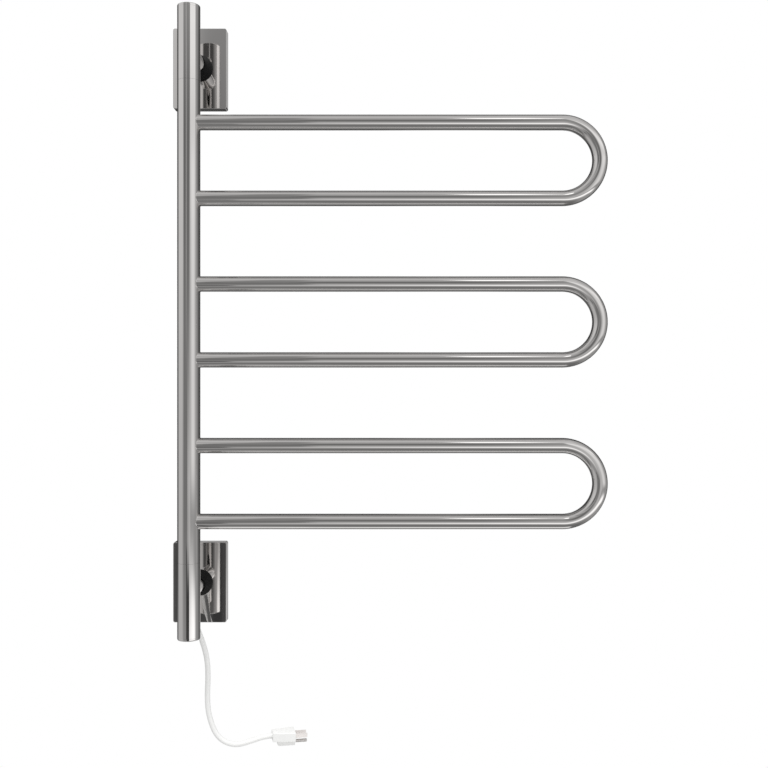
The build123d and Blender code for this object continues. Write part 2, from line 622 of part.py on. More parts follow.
# Round earth pin
with BuildPart() as plug_earth_pin:
    with BuildSketch(plug_face.offset(-PRONG_ROOT)):
        with Locations((0, -PIN_DROP)):
            Circle(PIN_DIAMETER / 2)
    extrude(amount=PRONG_ROOT + PIN_LENGTH)
    pin_tip = plug_earth_pin.faces().sort_by(Axis(PLUG_ENTRY, plug_axis))[-1]
    fillet(pin_tip.edges(), radius=PIN_TIP)
save(plug_earth_pin.part, "plug_earth_pin")

# Cord from the strain relief to the plug, on straight runs joined by tangent arcs
CORD_ROUTE = [
    Vector(0.0, CORD_EXIT_Y, RELIEF_TIP),
    Vector(0.0, CORD_EXIT_Y, -46.0),
    Vector(6.2, -55.5, -65.0),
    Vector(13.8, -52.3, -88.0),
    Vector(18.7, -50.6, -112.0),
    Vector(19.2, -50.3, -137.0),
    Vector(18.2, -51.0, -161.0),
    Vector(19.3, -51.6, -184.0),
    Vector(25.2, -52.5, -205.5),
    Vector(33.4, -53.5, -221.3),
    Vector(46.3, -54.2, -231.2),
    Vector(63.0, -54.8, -234.6),
    Vector(82.0, -54.6, -229.5),
    PLUG_ENTRY - plug_axis * PLUG_LAST_RUN,
    PLUG_ENTRY,
]
ARC_SHARE = 0.45  # of the shorter run beside a corner that its arc takes up
cord_runs = [after - before for before, after in zip(CORD_ROUTE, CORD_ROUTE[1:])]
cord_radii = []
for before, after in zip(cord_runs, cord_runs[1:]):
    half_turn = radians(before.get_angle(after)) / 2
    cord_radii.append(ARC_SHARE * min(before.length, after.length) / tan(half_turn))

with BuildPart() as power_cord:
    with BuildLine():
        cord_path = FilletPolyline(*CORD_ROUTE, radius=cord_radii)
    with BuildSketch(Plane(origin=CORD_ROUTE[0], z_dir=cord_runs[0])):
        Circle(CORD_DIAMETER / 2)
    sweep(path=cord_path)
save(power_cord.part, "power_cord")

cord_tube_volume = cord_path.length * pi * CORD_DIAMETER**2 / 4
print("cord radii, mm:", [round(radius, 1) for radius in cord_radii])
print("cord length, mm:", round(cord_path.length, 1))
print("cord volume against section times length:", round(power_cord.part.volume / cord_tube_volume, 4))
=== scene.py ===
import json
from math import cos, pi, radians, sin, sqrt, tau

import bmesh
import bpy
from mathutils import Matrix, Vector


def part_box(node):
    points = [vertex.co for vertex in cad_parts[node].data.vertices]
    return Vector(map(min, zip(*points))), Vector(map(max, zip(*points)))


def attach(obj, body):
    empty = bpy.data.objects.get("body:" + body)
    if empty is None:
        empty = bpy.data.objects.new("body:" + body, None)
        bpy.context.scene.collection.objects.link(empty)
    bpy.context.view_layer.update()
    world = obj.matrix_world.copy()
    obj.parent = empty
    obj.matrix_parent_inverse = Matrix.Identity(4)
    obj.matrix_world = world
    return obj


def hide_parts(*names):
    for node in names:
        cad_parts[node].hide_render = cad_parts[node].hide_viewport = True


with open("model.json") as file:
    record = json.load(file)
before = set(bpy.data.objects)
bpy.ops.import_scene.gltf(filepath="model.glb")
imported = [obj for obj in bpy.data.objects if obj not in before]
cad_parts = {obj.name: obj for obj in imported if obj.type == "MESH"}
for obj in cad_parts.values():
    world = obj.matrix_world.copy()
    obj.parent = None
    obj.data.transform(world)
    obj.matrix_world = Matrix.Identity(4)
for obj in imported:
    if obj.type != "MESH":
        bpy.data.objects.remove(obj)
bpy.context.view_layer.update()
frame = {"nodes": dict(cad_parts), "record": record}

# Wall-hung swivel towel warmer rack. Metres, +X along the bars, +Y into the wall, +Z up.
MM = 0.001
RIGHT = Vector((1, 0, 0))
BACK = Vector((0, 1, 0))
UP = Vector((0, 0, 1))
MOUNT = "wall_mount"
RACK = "rack"
BRACKETS = ("lower", "upper")
LOOPS = ("lower", "middle", "upper")

# Mesh fineness
SEGMENTS = 96
BEND_STEPS = 72
CORNER_STEPS = 10
EDGE_STEPS = 6
WELD_SIDES = 10
CORD_STEPS = 24
CORD_BEVEL_STEPS = 10
TENT_STEPS = 24
SHARP_ANGLE = radians(40)
SUPPORT = 0.4  # share of a rounding's size, from the rounding to the loop that holds it
MERGE = 0.001 * MM

# Sizes that the boxes of the frame do not give
POST_WALL = 1.5 * MM
POST_RIM = 0.06 * MM
SEAM_CLOSE = 0.25 * MM  # by which a fixed post end reaches into the seam
BAR_WALL = 1.2 * MM
BAR_CLEAR = 1.0 * MM  # from the post to the first plain ring of a bar
BEND_LEAD = 2.0 * MM  # from the last plain ring of a bar to its bend
ARM_WALL = 2.0 * MM
JOINT_GAP = 0.05 * MM
WELD_RADIUS = 0.6 * MM
CAP_THICKNESS = 4.0 * MM
CAP_EDGES = {"lower": 2.0 * MM, "upper": 1.0 * MM}
CAP_RIM = 0.25 * MM
CAP_PLUG_INSET = 1.55 * MM
COVER_CORNER = 3.0 * MM
COVER_EDGE = 0.6 * MM
COVER_WALL = 1.5 * MM
COVER_RIM = 0.3 * MM
COVER_HOLE_RADIUS = 11.65 * MM
COLLAR_BORE_RADIUS = 11.65 * MM
COLLAR_LIP = 1.0 * MM
COLLAR_RIM = 1.5 * MM
COLLAR_ROUND = 0.45 * MM
RELIEF_NECK_RADIUS = 5.0 * MM
RELIEF_FLANGE_THICKNESS = 2.5 * MM
RELIEF_TOP_RADIUS = 6.0 * MM
RELIEF_TIP_RADIUS = 4.8 * MM
RELIEF_GROOVE = 0.8 * MM
RELIEF_RIBS = 5
RIB_SHARE = 0.62  # of a rib and the groove above it
RIB_ROUND = 0.25 * MM
FLANGE_ROUND = 0.6 * MM

scene = bpy.context.scene
scene.view_settings.view_transform = "Standard"


# Shapes
def loft(rings, closed=False):
    """Join rings of equal point counts one to the next, and where closed the last to the first."""
    count = len(rings[0])
    points = [point for ring in rings for point in ring]
    joins = len(rings) if closed else len(rings) - 1
    faces = []
    for step in range(joins):
        this = step * count
        following = (step + 1) % len(rings) * count
        for corner in range(count):
            ahead = (corner + 1) % count
            faces.append((this + corner, this + ahead, following + ahead, following + corner))
    return points, faces


def circle(centre, across, beside, radius, segments=SEGMENTS):
    """Points of a circle, from across towards beside."""
    points = []
    for step in range(segments):
        angle = tau * step / segments
        points.append(centre + (across * cos(angle) + beside * sin(angle)) * radius)
    return points


def turned(outline, origin, along):
    """Rings of an outline of (radius, height) pairs turned round an axis."""
    across = along.orthogonal().normalized()
    beside = along.cross(across)
    return [circle(origin + along * height, across, beside, radius) for radius, height in outline]


def soften(corners):
    """Round the corners (x, y, bevel) of a closed outline, with a support point beside each arc."""
    outline = []
    count = len(corners)
    for index, (x, y, bevel) in enumerate(corners):
        corner = Vector((x, y))
        if bevel == 0:
            outline.append(corner)
            continue
        to_before = (Vector(corners[index - 1][:2]) - corner).normalized()
        to_after = (Vector(corners[(index + 1) % count][:2]) - corner).normalized()
        start = corner + to_before * bevel
        end = corner + to_after * bevel
        outline.append(start + to_before * bevel * SUPPORT)
        for step in range(EDGE_STEPS + 1):
            share = step / EDGE_STEPS
            outline.append(start * (1 - share) ** 2 + corner * 2 * share * (1 - share) + end * share**2)
        outline.append(end + to_after * bevel * SUPPORT)
    return outline


def rounded_rectangle(centre, width, height, corner):
    """Points round an upright rectangle with rounded corners, in the same order for any size."""
    points = []
    sides = ((1, 1), (-1, 1), (-1, -1), (1, -1))
    for quarter, (side, rise) in enumerate(sides):
        corner_x = side * (width / 2 - corner)
        corner_z = rise * (height / 2 - corner)
        for step in range(CORNER_STEPS + 1):
            angle = (quarter + step / CORNER_STEPS) * pi / 2
            x = corner_x + corner * cos(angle)
            z = corner_z + corner * sin(angle)
            points.append(centre + RIGHT * x + UP * z)
    return points


def back_middle(low, high):
    """The middle of a box's back face."""
    return Vector(((low.x + high.x) / 2, high.y, (low.z + high.z) / 2))


def make_mesh(name, parts, material):
    """Make one smooth mesh object from lofted parts."""
    mesh = bpy.data.meshes.new(name)
    points = []
    faces = []
    for part_points, part_faces in parts:
        first = len(points)
        points.extend(part_points)
        faces.extend(tuple(corner + first for corner in face) for face in part_faces)
    mesh.from_pydata(points, [], faces)
    work = bmesh.new()
    work.from_mesh(mesh)
    bmesh.ops.remove_doubles(work, verts=work.verts, dist=MERGE)
    bmesh.ops.recalc_face_normals(work, faces=work.faces)
    work.to_mesh(mesh)
    work.free()
    mesh.shade_smooth()
    mesh.set_sharp_from_angle(angle=SHARP_ANGLE)
    mesh.materials.append(material)
    made = bpy.data.objects.new(name, mesh)
    scene.collection.objects.link(made)
    return made


def make_piece(name, parts, material, body, nodes):
    """Make one mesh piece, and put it in the frame in place of CAD nodes."""
    piece = make_mesh(name, parts, material)
    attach(piece, body)
    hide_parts(*nodes)


# Materials: noise gives soft patches of colour and a fine grain
NOISE_LOW = 0.3
NOISE_HIGH = 0.7
PATCH_DETAIL = 3.0
GRAIN_DETAIL = 2.0


def object_point(tree):
    """The socket of a surface point in object space."""
    return tree.nodes.new("ShaderNodeTexCoord").outputs["Object"]


def noise_field(tree, scale, detail):
    """Noise in object space."""
    noise = tree.nodes.new("ShaderNodeTexNoise")
    noise.inputs["Scale"].default_value = scale
    noise.inputs["Detail"].default_value = detail
    tree.links.new(object_point(tree), noise.inputs["Vector"])
    return noise.outputs["Fac"]


def spread(tree, field, low, high):
    """A noise field's middle range laid out from low to high."""
    lay = tree.nodes.new("ShaderNodeMapRange")
    lay.inputs["From Min"].default_value = NOISE_LOW
    lay.inputs["From Max"].default_value = NOISE_HIGH
    lay.inputs["To Min"].default_value = low
    lay.inputs["To Max"].default_value = high
    tree.links.new(field, lay.inputs["Value"])
    return lay.outputs["Result"]


def finish(name, colours, roughness, patch, grain, relief, metallic=0.0, specular=0.5):
    """A procedural finish: two colours and two roughnesses in soft patches, and a fine relief."""
    material = bpy.data.materials.new(name)
    material.use_nodes = True
    tree = material.node_tree
    shader = tree.nodes["Principled BSDF"]
    shader.inputs["Metallic"].default_value = metallic
    shader.inputs["Specular IOR Level"].default_value = specular
    blend = tree.nodes.new("ShaderNodeMix")
    blend.data_type = "RGBA"
    blend.inputs["A"].default_value = (*colours[0], 1)
    blend.inputs["B"].default_value = (*colours[1], 1)
    patches = noise_field(tree, patch, PATCH_DETAIL)
    tree.links.new(spread(tree, patches, 0.0, 1.0), blend.inputs["Factor"])
    tree.links.new(blend.outputs["Result"], shader.inputs["Base Color"])
    grains = noise_field(tree, grain, GRAIN_DETAIL)
    tree.links.new(spread(tree, grains, *roughness), shader.inputs["Roughness"])
    bump = tree.nodes.new("ShaderNodeBump")
    bump.inputs["Distance"].default_value = relief
    tree.links.new(grains, bump.inputs["Height"])
    tree.links.new(bump.outputs["Normal"], shader.inputs["Normal"])
    return material


FINISHES = {
    "chrome": finish(
        "chrome_plate",
        colours=((0.805, 0.787, 0.774), (0.825, 0.806, 0.793)),
        roughness=(0.035, 0.05),
        patch=20.0,
        grain=60.0,
        relief=0.004 * MM,
        metallic=1.0,
    ),
    "zinc_steel": finish(
        "zinc_plate",
        colours=((0.54, 0.55, 0.56), (0.64, 0.63, 0.60)),
        roughness=(0.34, 0.5),
        patch=90.0,
        grain=500.0,
        relief=0.02 * MM,
        metallic=0.6,
    ),
    "black_collar": finish(
        "black_moulding",
        colours=((0.006, 0.006, 0.006), (0.009, 0.009, 0.009)),
        roughness=(0.5, 0.65),
        patch=200.0,
        grain=900.0,
        relief=0.02 * MM,
        specular=0.12,
    ),
    "nylon": finish(
        "natural_nylon",
        colours=((0.80, 0.78, 0.71), (0.84, 0.82, 0.77)),
        roughness=(0.35, 0.5),
        patch=150.0,
        grain=1500.0,
        relief=0.02 * MM,
    ),
    "cable_jacket": finish(
        "silicone_jacket",
        colours=((0.36, 0.075, 0.05), (0.44, 0.105, 0.07)),
        roughness=(0.5, 0.65),
        patch=80.0,
        grain=1200.0,
        relief=0.02 * MM,
    ),
    "wire_jacket": finish(
        "wire_sleeve",
        colours=((0.26, 0.26, 0.27), (0.34, 0.34, 0.35)),
        roughness=(0.45, 0.6),
        patch=300.0,
        grain=1500.0,
        relief=0.05 * MM,
    ),
    "earth_jacket": finish(
        "earth_sleeve",
        colours=((0.20, 0.52, 0.08), (0.62, 0.62, 0.08)),
        roughness=(0.4, 0.5),
        patch=150.0,
        grain=1500.0,
        relief=0.01 * MM,
    ),
    "tinned_brass": finish(
        "tinned_lug",
        colours=((0.70, 0.65, 0.52), (0.75, 0.70, 0.58)),
        roughness=(0.3, 0.45),
        patch=200.0,
        grain=900.0,
        relief=0.01 * MM,
        metallic=1.0,
    ),
    "white_cord": finish(
        "cord_jacket",
        colours=((0.88, 0.88, 0.87), (0.90, 0.90, 0.89)),
        roughness=(0.38, 0.5),
        patch=40.0,
        grain=900.0,
        relief=0.003 * MM,
        specular=0.4,
    ),
    "white_plug": finish(
        "plug_moulding",
        colours=((0.87, 0.87, 0.86), (0.885, 0.885, 0.875)),
        roughness=(0.32, 0.46),
        patch=80.0,
        grain=900.0,
        relief=0.003 * MM,
        specular=0.05,
    ),
    "nickel": finish(
        "nickel_plate",
        colours=((0.84, 0.81, 0.785), (0.90, 0.87, 0.845)),
        roughness=(0.2, 0.32),
        patch=120.0,
        grain=900.0,
        relief=0.01 * MM,
        metallic=1.0,
    ),
}
CHROME = FINISHES["chrome"]
BLADE_FINISH = finish(
    "satin_nickel",
    colours=((0.90, 0.855, 0.83), (0.93, 0.885, 0.86)),
    roughness=(0.35, 0.5),
    patch=120.0,
    grain=900.0,
    relief=0.01 * MM,
    metallic=0.25,
    specular=0.3,
)
for subpart in frame["record"]["subparts"]:
    for node_slot in frame["nodes"][subpart["node"]].material_slots:
        node_slot.material = FINISHES[subpart["material_slot"]]
for node_slot in frame["nodes"]["plug_blades"].material_slots:
    node_slot.material = BLADE_FINISH

# Camera at the photograph's place
CAMERA_LENS = 43.45
CAMERA_SENSOR = 36.0
CAMERA_PLACE = (0.2829, -1.4395, 0.3047)
CAMERA_TURN = (radians(90), 0, 0)
camera_data = bpy.data.cameras.new("camera")
camera_data.lens = CAMERA_LENS
camera_data.sensor_width = CAMERA_SENSOR
camera = bpy.data.objects.new("camera", camera_data)
camera.location = CAMERA_PLACE
camera.rotation_euler = CAMERA_TURN
scene.collection.objects.link(camera)
scene.camera = camera

# Post: a fixed end, the swinging length and the other fixed end, each a tube with soft rims
post_low, post_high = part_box("swing_post")
POST_RADIUS = (post_high.x - post_low.x) / 2
POST_X = (post_low.x + post_high.x) / 2
POST_Y = (post_low.y + post_high.y) / 2
SADDLE_RADIUS = POST_RADIUS + JOINT_GAP
# Node, body, reach into the seam below and above
POST_PIECES = (
    ("swing_post", RACK, 0.0, 0.0),
    ("lower_post_end", MOUNT, 0.0, SEAM_CLOSE),
    ("upper_post_end", MOUNT, SEAM_CLOSE, 0.0),
)
for node_name, body, reach_below, reach_above in POST_PIECES:
    low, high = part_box(node_name)
    foot = Vector((POST_X, POST_Y, low.z - reach_below))
    tube_height = high.z + reach_above - foot.z
    tube_outline = soften(
        [
            (POST_RADIUS - POST_WALL, 0, POST_RIM),
            (POST_RADIUS, 0, POST_RIM),
            (POST_RADIUS, tube_height, POST_RIM),
            (POST_RADIUS - POST_WALL, tube_height, POST_RIM),
        ]
    )
    tube = loft(turned(tube_outline, foot, UP), closed=True)
    make_piece(f"{node_name}_tube", [tube], CHROME, body, [node_name])

# End caps with a rounded edge, plugged into the post
for name in BRACKETS:
    low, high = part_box(f"{name}_end_cap")
    outward = UP if name == "upper" else -UP
    inner_end = Vector((POST_X, POST_Y, low.z if name == "upper" else high.z))
    cap_height = high.z - low.z
    cap_face = cap_height - CAP_THICKNESS
    plug_radius = POST_RADIUS - CAP_PLUG_INSET
    cap_outline = soften(
        [
            (0, 0, 0),
            (plug_radius, 0, CAP_RIM),
            (plug_radius, cap_face, 0),
            (POST_RADIUS, cap_face, CAP_RIM),
            (POST_RADIUS, cap_height, CAP_EDGES[name]),
            (0, cap_height, 0),
        ]
    )
    cap = loft(turned(cap_outline, inner_end, outward))
    make_piece(f"{name}_end_cap_turned", [cap], CHROME, MOUNT, [f"{name}_end_cap"])


def bar_ring(centre, sideways, radius):
    """A ring round a bar at one place along its loop."""
    return circle(centre, BACK, sideways, radius)


def bar_saddle(centre, sideways, radius):
    """The ring where a bar meets the post."""
    saddle = []
    for point in bar_ring(centre, sideways, radius):
        beside = point.y - centre.y
        saddle.append(Vector((POST_X + sqrt(SADDLE_RADIUS**2 - beside**2), point.y, point.z)))
    return saddle


def bar_rings(stations, radius):
    """Rings along a bar loop, from its upper saddle to its lower one."""
    rings = [bar_saddle(*stations[0], radius)]
    rings.extend(bar_ring(centre, sideways, radius) for centre, sideways in stations)
    rings.append(bar_saddle(*stations[-1], radius))
    return rings


def arm_saddle(ring):
    """The ring where an arm meets the post, from a ring of the arm."""
    saddle = []
    for point in ring:
        reach = sqrt(SADDLE_RADIUS**2 - (point.x - POST_X) ** 2)
        saddle.append(Vector((point.x, POST_Y + reach, point.z)))
    return saddle


def weld(saddle, centre):
    """A small polished bead along a saddle joint."""
    sections = []
    for point in saddle:
        off_tube = (point - centre).normalized()
        off_post = Vector((point.x - POST_X, point.y - POST_Y, 0)).normalized()
        off_tube = (off_tube - off_post * off_tube.dot(off_post)).normalized()
        sections.append(circle(point, off_tube, off_post, WELD_RADIUS, WELD_SIDES))
    return loft(sections, closed=True)


# Bar loops, each one bent tube from the post and back
for name in LOOPS:
    low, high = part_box(f"{name}_bar_loop")
    bar_radius = (high.y - low.y) / 2
    bend_radius = (high.z - low.z) / 2 - bar_radius
    bend_x = high.x - bar_radius - bend_radius
    middle = Vector((bend_x, (low.y + high.y) / 2, (low.z + high.z) / 2))
    clear_x = POST_X + SADDLE_RADIUS + BAR_CLEAR
    lead_x = bend_x - BEND_LEAD
    upper_z = middle.z + bend_radius
    lower_z = middle.z - bend_radius
    stations = [(Vector((x, middle.y, upper_z)), UP) for x in (clear_x, lead_x)]
    for step in range(BEND_STEPS + 1):
        turn = pi / 2 - pi * step / BEND_STEPS
        sideways = RIGHT * cos(turn) + UP * sin(turn)
        stations.append((middle + sideways * bend_radius, sideways))
    stations.extend((Vector((x, middle.y, lower_z)), -UP) for x in (lead_x, clear_x))
    outside = bar_rings(stations, bar_radius)
    bore = bar_rings(stations, bar_radius - BAR_WALL)
    tube = loft(outside + bore[::-1], closed=True)
    make_piece(f"{name}_bar_tube", [tube], CHROME, RACK, [f"{name}_bar_loop"])
    joint_x = POST_X + SADDLE_RADIUS
    beads = [
        weld(outside[0], Vector((joint_x, middle.y, upper_z))),
        weld(outside[-1], Vector((joint_x, middle.y, lower_z))),
    ]
    make_piece(f"{name}_bar_welds", beads, CHROME, RACK, [])

# Arms from the wall plates to the post ends
for name in BRACKETS:
    low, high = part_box(f"{name}_arm")
    arm_radius = (high.x - low.x) / 2
    arm_back = back_middle(low, high)
    outside = circle(arm_back, RIGHT, UP, arm_radius)
    bore = circle(arm_back, RIGHT, UP, arm_radius - ARM_WALL)
    saddle = arm_saddle(outside)
    arm = loft([saddle, outside, bore, arm_saddle(bore)], closed=True)
    make_piece(f"{name}_arm_tube", [arm], CHROME, MOUNT, [f"{name}_arm"])
    bead = weld(saddle, Vector((arm_back.x, POST_Y + SADDLE_RADIUS, arm_back.z)))
    make_piece(f"{name}_arm_weld", [bead], CHROME, MOUNT, [])


def cover_ring(wall_centre, width, height, inset, forward):
    """A ring of a cover, inset from its sides and forward of the wall."""
    centre = wall_centre - BACK * forward
    corner = max(COVER_CORNER - inset, COVER_RIM)
    return rounded_rectangle(centre, width - 2 * inset, height - 2 * inset, corner)


# Pressed covers, polished, with a soft front edge
for name in BRACKETS:
    low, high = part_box(f"{name}_plate_cover")
    width = high.x - low.x
    height = high.z - low.z
    depth = high.y - low.y
    wall_centre = back_middle(low, high)
    side_end = depth - COVER_EDGE
    # Inset and forward of each ring, from the wall over the front to the hole
    outer = [
        (COVER_RIM, 0),
        (0, COVER_RIM),
        (0, 2 * COVER_RIM),
        (0, side_end - COVER_EDGE * SUPPORT),
    ]
    for step in range(EDGE_STEPS + 1):
        turn = step / EDGE_STEPS * pi / 2
        outer.append((COVER_EDGE * (1 - cos(turn)), side_end + COVER_EDGE * sin(turn)))
    outer.append((COVER_EDGE * (1 + SUPPORT), depth))
    inner = [(COVER_WALL, depth - COVER_WALL), (COVER_WALL, 0)]
    hole_width = 2 * COVER_HOLE_RADIUS
    hole = rounded_rectangle(wall_centre - BACK * depth, hole_width, hole_width, COVER_HOLE_RADIUS)
    rings = [cover_ring(wall_centre, width, height, *place) for place in outer]
    rings.append(hole)
    rings.append([point + BACK * COVER_WALL for point in hole])
    rings.extend(cover_ring(wall_centre, width, height, *place) for place in inner)
    shell = loft(rings, closed=True)
    make_piece(f"{name}_cover_shell", [shell], CHROME, MOUNT, [f"{name}_plate_cover"])

# Black collars on the covers
for name in BRACKETS:
    low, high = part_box(f"{name}_collar")
    collar_radius = (high.x - low.x) / 2
    collar_length = high.y - low.y
    collar_outline = soften(
        [
            (COLLAR_BORE_RADIUS, 0, 0),
            (collar_radius, 0, COLLAR_ROUND / 2),
            (collar_radius, COLLAR_RIM, COLLAR_ROUND),
            (COLLAR_BORE_RADIUS + COLLAR_LIP, collar_length, COLLAR_ROUND / 2),
            (COLLAR_BORE_RADIUS, collar_length, COLLAR_ROUND / 2),
        ]
    )
    collar = loft(turned(collar_outline, back_middle(low, high), -BACK), closed=True)
    make_piece(
        f"{name}_collar_cone", [collar], FINISHES["black_collar"], MOUNT, [f"{name}_collar"]
    )

# Strain relief: a flange against the arm and a ribbed taper
low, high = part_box("strain_relief")
relief_top = Vector(((low.x + high.x) / 2, (low.y + high.y) / 2, high.z))
relief_length = high.z - low.z
flange_radius = (high.x - low.x) / 2
arm_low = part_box("lower_arm")[0]
flange_start = high.z - arm_low.z
taper_start = flange_start + RELIEF_FLANGE_THICKNESS
relief_corners = [
    (0, 0, 0),
    (RELIEF_NECK_RADIUS, 0, 0),
    (RELIEF_NECK_RADIUS, flange_start, 0),
    (flange_radius, flange_start, FLANGE_ROUND / 2),
    (flange_radius, taper_start, FLANGE_ROUND),
]
rib_pitch = (relief_length - taper_start) / RELIEF_RIBS
for rib in range(RELIEF_RIBS):
    groove_start = taper_start + rib * rib_pitch
    rib_start = groove_start + rib_pitch * (1 - RIB_SHARE)
    rib_end = groove_start + rib_pitch
    rib_radius = RELIEF_TOP_RADIUS + (RELIEF_TIP_RADIUS - RELIEF_TOP_RADIUS) * (rib + 1) / RELIEF_RIBS
    relief_corners.append((rib_radius - RELIEF_GROOVE, groove_start, 0))
    relief_corners.append((rib_radius - RELIEF_GROOVE, rib_start, 0))
    relief_corners.append((rib_radius, rib_start, RIB_ROUND))
    relief_corners.append((rib_radius, rib_end, RIB_ROUND))
relief_corners.append((0, relief_length, 0))
relief = loft(turned(soften(relief_corners), relief_top, -UP))
make_piece("strain_relief_boot", [relief], FINISHES["white_cord"], MOUNT, ["strain_relief"])

# Cord, from the strain relief to the plug
CORD_DIAMETER = 7.8 * MM
CORD_ROUTE = (
    (0.0, -0.058, -0.0335),
    (0.0, -0.058, -0.046),
    (0.0062, -0.0555, -0.065),
    (0.0138, -0.0523, -0.088),
    (0.0187, -0.0506, -0.112),
    (0.0192, -0.0503, -0.137),
    (0.0182, -0.051, -0.161),
    (0.0193, -0.0516, -0.184),
    (0.0252, -0.0525, -0.2055),
    (0.0334, -0.0535, -0.2213),
    (0.0463, -0.0542, -0.2312),
    (0.063, -0.0548, -0.2346),
    (0.082, -0.0546, -0.2295),
    (0.10392, -0.05068, -0.22306),
    (0.1151, -0.048, -0.2233),
)
cord_curve = bpy.data.curves.new("mains_cord", "CURVE")
cord_curve.dimensions = "3D"
cord_curve.resolution_u = CORD_STEPS
cord_curve.bevel_depth = CORD_DIAMETER / 2
cord_curve.bevel_resolution = CORD_BEVEL_STEPS
cord_curve.use_fill_caps = True
cord_line = cord_curve.splines.new("NURBS")
cord_line.points.add(len(CORD_ROUTE) - 1)
for control, point in zip(cord_line.points, CORD_ROUTE):
    control.co = (*point, 1)
cord_line.order_u = 3
cord_line.use_endpoint_u = True
cord_line.use_smooth = True
cord_curve.materials.append(FINISHES["white_cord"])
cord = bpy.data.objects.new("mains_cord", cord_curve)
scene.collection.objects.link(cord)
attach(cord, MOUNT)
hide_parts("power_cord")


# Nodes of the world and the studio
def calculate(tree, operation, *values):
    """A math node on sockets and numbers."""
    node = tree.nodes.new("ShaderNodeMath")
    node.operation = operation
    for socket, value in zip(node.inputs, values):
        if isinstance(value, bpy.types.NodeSocket):
            tree.links.new(value, socket)
        else:
            socket.default_value = value
    return node.outputs["Value"]


def soft_edge(tree, value, half, softness):
    """One inside a half width and nought outside it, with a soft edge."""
    edge = tree.nodes.new("ShaderNodeMapRange")
    edge.interpolation_type = "SMOOTHSTEP"
    edge.inputs["From Min"].default_value = half + softness
    edge.inputs["From Max"].default_value = half - softness
    tree.links.new(calculate(tree, "ABSOLUTE", value), edge.inputs["Value"])
    return edge.outputs["Result"]


def mix_shaders(tree, share, first, second):
    """The first shader where share is nought, and the second where it is one."""
    mix = tree.nodes.new("ShaderNodeMixShader")
    tree.links.new(share, mix.inputs["Fac"])
    tree.links.new(first, mix.inputs[1])
    tree.links.new(second, mix.inputs[2])
    return mix.outputs["Shader"]


def studio_material(name):
    """A new material for what only shines, its tree, its lamp shader and its surface socket."""
    material = bpy.data.materials.new(name)
    material.use_nodes = True
    material.cycles.emission_sampling = "NONE"
    tree = material.node_tree
    tree.nodes.clear()
    shine = tree.nodes.new("ShaderNodeEmission")
    output = tree.nodes.new("ShaderNodeOutputMaterial")
    return material, tree, shine, output.inputs["Surface"]


def set_in_studio(obj):
    """Leave an object to polished surfaces alone, hidden from the camera, matt surfaces and shadows."""
    obj.visible_camera = False
    obj.visible_diffuse = False
    obj.visible_transmission = False
    obj.visible_volume_scatter = False
    obj.visible_shadow = False


# World: a white backdrop for what is seen and mirrored, softer light for matt surfaces
SOFT_LIGHT = 0.62
WHITE = (1, 1, 1, 1)
world = bpy.data.worlds.new("studio")
world.use_nodes = True
scene.world = world
world_tree = world.node_tree
world_tree.nodes.clear()
soft_light = world_tree.nodes.new("ShaderNodeBackground")
soft_light.inputs["Color"].default_value = WHITE
soft_light.inputs["Strength"].default_value = SOFT_LIGHT
backdrop = world_tree.nodes.new("ShaderNodeBackground")
backdrop.inputs["Color"].default_value = WHITE
rays = world_tree.nodes.new("ShaderNodeLightPath").outputs
mirrored = calculate(world_tree, "MAXIMUM", rays["Is Glossy Ray"], rays["Is Transmission Ray"])
shown = calculate(world_tree, "MAXIMUM", rays["Is Camera Ray"], mirrored)
world_light = mix_shaders(world_tree, shown, soft_light.outputs["Background"], backdrop.outputs["Background"])
world_output = world_tree.nodes.new("ShaderNodeOutputWorld")
world_tree.links.new(world_light, world_output.inputs["Surface"])

# Studio: a tent of grey panels and soft boxes, which only polished surfaces show
TENT_CENTRE = Vector((0, -0.096, 0.395))
TENT_RADIUS = 4.0
HORIZON = 0.5  # place of level on the ramp of panels, from straight down to straight up
# Elevation in degrees, level
PANELS = (
    (-90, 0.30),
    (-74, 0.20),
    (-57, 0.16),
    (-41, 0.31),
    (-26, 0.31),
    (-11, 0.19),
    (3, 0.19),
    (18, 0.15),
    (33, 0.33),
    (48, 0.45),
    (65, 0.56),
    (90, 0.45),
)
# Name, azimuth to the right of the front, elevation, half width and height, softness of each, level
SOFT_BOXES = (
    ("back ceiling", 185, 66, 70, 20, 15, 8, 0.25),
    ("back wall", 185, 14, 62, 36, 12, 8, 0.07),
    ("back floor", 185, -42, 62, 20, 15, 6, 0.12),
    ("backdrop", 170, 4, 4, 27, 3, 4, 0.44),
    ("left box", -80, 0, 31, 45, 15, 12, 0.49),
    ("left box, upper part", -76, 27, 32, 24, 6, 20, 0.64),
    ("left strip", -14.3, 20.5, 1.1, 17, 3, 9, 0.80),
    ("right box", 55, -3, 39, 28, 5, 18, 0.31),
    ("right box, middle", 53, 4, 23, 14, 20, 3, 0.77),
    ("right box, upper part", 53, 27, 29, 10, 3, 14, 0.98),
    ("low box", 32, -25.5, 29, 8.5, 20, 6, 1.15),
    ("low box, upper part", 12, -9, 14, 3, 1, 16, 0.66),
    ("right box, lower part", 58, -22, 20, 4, 14, 3, 1.25),
    ("right wall", 97, 0, 9, 40, 2, 12, 0.34),
    ("key surround", 40, 48, 24, 8, 3, 6, 0.62),
    ("key box", 20, 47.5, 5, 6, 1, 2, 1.5),
    ("key flag", -6.5, 35, 3.5, 20, 1.5, 13, 0.25),
    ("left floor", -30, -75, 20, 8, 14, 12, 0.32),
)
tent_material, tent_tree, tent_shine, tent_surface = studio_material("tent_panels")
tent_tree.links.new(tent_shine.outputs["Emission"], tent_surface)
from_centre = tent_tree.nodes.new("ShaderNodeVectorMath")
from_centre.operation = "NORMALIZE"
tent_tree.links.new(object_point(tent_tree), from_centre.inputs["Vector"])
